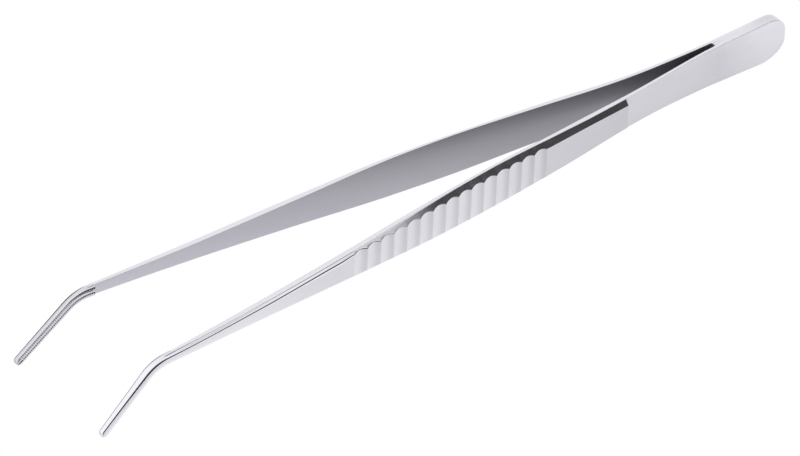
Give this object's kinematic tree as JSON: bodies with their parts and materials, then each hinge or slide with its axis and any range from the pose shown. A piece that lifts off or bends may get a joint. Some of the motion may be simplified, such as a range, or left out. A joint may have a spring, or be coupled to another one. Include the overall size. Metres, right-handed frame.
{
  "type": "angled dressing tweezers",
  "caption": "Spring tweezers with two fluted steel arms welded at a rounded heel, tapering to down-bent toothed tips.",
  "frame": {"origin": "middle of the small flat at the end of the heel, on the plane midway between the two arms", "axes": "+X from the heel along the blades to the tips, +Y towards the left arm, +Z across the blades' width, away from the side that the tips bend to"},
  "size_m": [0.1499, 0.024, 0.0137],
  "materials": {
    "arm_steel": "satin ground faces, polished edge bevels",
    "weld_steel": "satin, ground flush"
  },
  "bodies": {
    "heel": {"heel_weld": "weld_steel", "left_arm_root": "arm_steel", "right_arm_root": "arm_steel"},
    "left_arm_body": {"left_arm": "arm_steel"},
    "right_arm_body": {"right_arm": "arm_steel"}
  },
  "joints": [
    {"name": "left_squeeze", "type": "hinge", "parent": "heel", "child": "left_arm_body", "pos_m": [0.023, 0.00117, 0], "axis": [0, 0, -1], "range_deg": [0, 4.98], "stiffness_Nm_per_rad": 1.3},
    {"name": "right_squeeze", "type": "hinge", "parent": "heel", "child": "right_arm_body", "pos_m": [0.023, -0.00117, 0], "axis": [0, 0, 1], "range_deg": [0, 4.98], "stiffness_Nm_per_rad": 1.3}
  ],
  "couplings": [
    {"joint": "right_squeeze", "follows": "left_squeeze", "ratio": 1}
  ]
}
